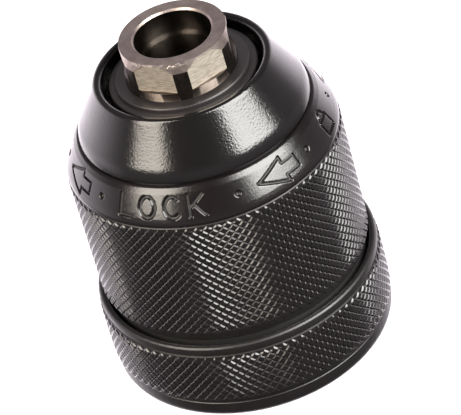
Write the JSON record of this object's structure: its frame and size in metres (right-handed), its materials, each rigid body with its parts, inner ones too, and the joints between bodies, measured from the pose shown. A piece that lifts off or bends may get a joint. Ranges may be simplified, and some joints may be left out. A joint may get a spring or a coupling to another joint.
{
  "type": "drill chuck",
  "caption": "Keyless two-sleeve drill chuck: a knurled sleeve turns a conical nut that slides three inclined jaws; female spindle thread and milled flats at the rear.",
  "frame": {"origin": "centre of the rear face, on the spindle axis, where the spindle's shoulder seats", "axes": "+Z out of the rear face towards the drill's spindle; the nose points to -Z; one jaw lies towards -Y"},
  "size_m": [0.0488, 0.0488, 0.066],
  "materials": {
    "turned_steel": "satin",
    "jaw_steel": "satin",
    "dust_disc": "matt",
    "cover_black": "satin",
    "band_charcoal": "matt",
    "black_knurl": "satin",
    "liner_alloy": "satin",
    "race_steel": "polished",
    "cage_brass": "satin",
    "spring_steel": "satin"
  },
  "bodies": {
    "body": {"chuck_body": "turned_steel", "dust_washer": "dust_disc", "rear_circlip": "spring_steel", "body_race": "race_steel", "ratchet_ring": "spring_steel", "front_hub": "liner_alloy", "front_ring": "black_knurl", "front_circlip": "spring_steel"},
    "sleeve": {"rear_cover": "cover_black", "marking_ring": "band_charcoal", "knurled_sleeve": "black_knurl", "sleeve_liner": "liner_alloy", "nut_race": "race_steel", "nut_half_a": "jaw_steel", "nut_half_b": "jaw_steel", "nut_collar": "jaw_steel", "lock_spring": "spring_steel"},
    "ball_set": {"bearing_balls": "race_steel", "ball_cage": "cage_brass"},
    "jaw_1": {"jaw_1": "jaw_steel"},
    "jaw_2": {"jaw_2": "jaw_steel"},
    "jaw_3": {"jaw_3": "jaw_steel"}
  },
  "joints": [
    {"name": "sleeve_turn", "type": "hinge", "parent": "body", "child": "sleeve", "pos_m": [0, 0, -0.0475], "axis": [0, 0, -1], "range_deg": [0, 3240]},
    {"name": "ball_roll", "type": "hinge", "parent": "body", "child": "ball_set", "pos_m": [0, 0, -0.0406], "axis": [0, 0, -1], "range_deg": [0, 1620]},
    {"name": "jaw_1_slide", "type": "slide", "parent": "body", "child": "jaw_1", "axis": [-0.2241, -0.1294, -0.9659], "range_m": [0, 0.0225]},
    {"name": "jaw_2_slide", "type": "slide", "parent": "body", "child": "jaw_2", "axis": [0.2241, -0.1294, -0.9659], "range_m": [0, 0.0225]},
    {"name": "jaw_3_slide", "type": "slide", "parent": "body", "child": "jaw_3", "axis": [0, 0.2588, -0.9659], "range_m": [0, 0.0225]}
  ],
  "couplings": [
    {"joint": "ball_roll", "follows": "sleeve_turn", "ratio": 0.5},
    {"joint": "jaw_1_slide", "follows": "sleeve_turn", "m_per_rad": 0.00039789},
    {"joint": "jaw_2_slide", "follows": "sleeve_turn", "m_per_rad": 0.00039789},
    {"joint": "jaw_3_slide", "follows": "sleeve_turn", "m_per_rad": 0.00039789}
  ]
}
